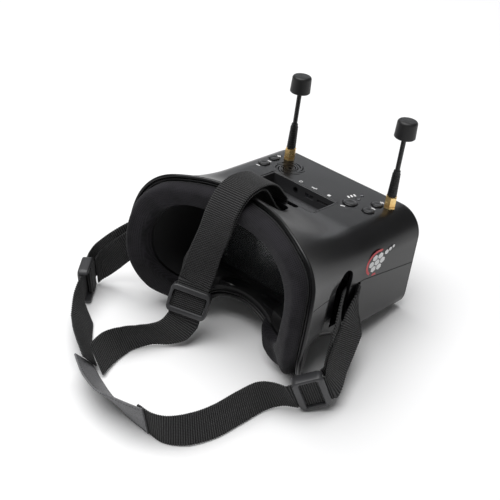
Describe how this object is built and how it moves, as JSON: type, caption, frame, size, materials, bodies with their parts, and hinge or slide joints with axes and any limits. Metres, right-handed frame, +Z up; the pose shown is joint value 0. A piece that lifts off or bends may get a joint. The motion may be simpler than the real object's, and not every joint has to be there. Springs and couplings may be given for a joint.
{
  "type": "video goggles",
  "caption": "Box-shaped video headset with flared foam face pad, elastic head straps with sliding buckles, push buttons, a port recess and screw-on antennas.",
  "frame": {"origin": "middle of the box around the part, on the surface that the goggles lie on", "axes": "+Y from the wearer forward along the goggles, +X to the wearer's right, +Z up from the surface; the housing leans nose down because it lies on its front edge and its cheek lobes"},
  "size_m": [0.2376, 0.2594, 0.1571],
  "materials": {
    "shell": "satin black moulded",
    "inner_plastic": "matt black",
    "foam": "black mesh fabric over foam",
    "velcro": "grey hook-and-loop",
    "webbing": "black ribbed elastic",
    "patch": "grey grained",
    "buckle": "dark grey moulded",
    "button": "satin black",
    "brass": "gold plated",
    "antenna": "matt black",
    "cap": "dark grey matt",
    "steel": "zinc plated",
    "lens": "clear moulded acrylic",
    "screen": "glossy black",
    "board": "green solder mask",
    "battery": "shrink film",
    "pipe": "frosted"
  },
  "bodies": {
    "goggles": {"upper_shell": "shell", "lower_shell": "shell", "front_cover": "shell", "face_plate": "inner_plastic", "light_hood": "inner_plastic", "hook_loop_strip": "velcro", "face_foam": "foam", "lens_frame": "inner_plastic", "fresnel_lens": "lens", "display_frame": "inner_plastic", "display_panel": "screen", "main_board": "board", "receiver_modules": "steel", "battery_pack": "battery", "speaker": "inner_plastic", "tact_switches": "inner_plastic", "light_pipes": "pipe", "port_tray": "shell", "av_jack": "inner_plastic", "usb_port": "steel", "card_slot": "steel", "shell_screws": "steel", "lens_screws": "steel", "cover_screws": "steel", "jack_left": "brass", "jack_right": "brass", "jack_nuts": "brass", "strap_right": "webbing", "strap_left": "webbing", "strap_top": "webbing", "rear_patch": "patch"},
    "channel_button": {"channel_button": "button"},
    "band_button": {"band_button": "button"},
    "menu_button": {"menu_button": "button"},
    "record_button": {"record_button": "button"},
    "power_button": {"power_button": "button"},
    "antenna_left": {"ferrule_left": "brass", "sleeve_left": "antenna", "stem_left": "antenna", "cap_left": "cap"},
    "coupling_nut_left": {"antenna_nut_left": "brass"},
    "antenna_right": {"ferrule_right": "brass", "sleeve_right": "antenna", "stem_right": "antenna", "cap_right": "cap"},
    "coupling_nut_right": {"antenna_nut_right": "brass"},
    "glide_right": {"buckle_right": "buckle", "strap_end_right": "webbing"},
    "glide_left": {"buckle_left": "buckle", "strap_end_left": "webbing"},
    "glide_top": {"buckle_top": "buckle", "strap_end_top": "webbing"}
  },
  "joints": [
    {"name": "channel_button_press", "type": "slide", "parent": "goggles", "child": "channel_button", "axis": [0, -0.1828, -0.9832], "range_m": [0, 0.0005], "stiffness_N_per_m": 1200},
    {"name": "band_button_press", "type": "slide", "parent": "goggles", "child": "band_button", "axis": [0, -0.1828, -0.9832], "range_m": [0, 0.0005], "stiffness_N_per_m": 1200},
    {"name": "menu_button_press", "type": "slide", "parent": "goggles", "child": "menu_button", "axis": [0, -0.1828, -0.9832], "range_m": [0, 0.0005], "stiffness_N_per_m": 1200},
    {"name": "record_button_press", "type": "slide", "parent": "goggles", "child": "record_button", "axis": [0, -0.1828, -0.9832], "range_m": [0, 0.0005], "stiffness_N_per_m": 1200},
    {"name": "power_button_press", "type": "slide", "parent": "goggles", "child": "power_button", "axis": [0, -0.1828, -0.9832], "range_m": [0, 0.0005], "stiffness_N_per_m": 1200},
    {"name": "antenna_left_lift", "type": "slide", "parent": "goggles", "child": "antenna_left", "axis": [0, 0.1828, 0.9832], "range_m": [0, 0.00494]},
    {"name": "coupling_nut_left_spin", "type": "hinge", "parent": "antenna_left", "child": "coupling_nut_left", "pos_m": [-0.036, 0.11066, 0.09116], "axis": [0, 0.1828, 0.9832], "range_deg": [0, 2520]},
    {"name": "antenna_right_lift", "type": "slide", "parent": "goggles", "child": "antenna_right", "axis": [0, 0.1828, 0.9832], "range_m": [0, 0.00494]},
    {"name": "coupling_nut_right_spin", "type": "hinge", "parent": "antenna_right", "child": "coupling_nut_right", "pos_m": [0.064, 0.11066, 0.09116], "axis": [0, 0.1828, 0.9832], "range_deg": [0, 2520]},
    {"name": "glide_right_slide", "type": "slide", "parent": "goggles", "child": "glide_right", "axis": [0.6666, 0.6872, 0.2886], "range_m": [-0.002, 0.002]},
    {"name": "glide_left_slide", "type": "slide", "parent": "goggles", "child": "glide_left", "axis": [-0.623, 0.7822, 0], "range_m": [-0.002, 0.002]},
    {"name": "glide_top_slide", "type": "slide", "parent": "goggles", "child": "glide_top", "axis": [0.016, 0.415, 0.9097], "range_m": [-0.002, 0.002]}
  ],
  "couplings": [
    {"joint": "coupling_nut_left_spin", "follows": "antenna_left_lift", "rad_per_m": 8905.3},
    {"joint": "coupling_nut_right_spin", "follows": "antenna_right_lift", "rad_per_m": 8905.3}
  ]
}
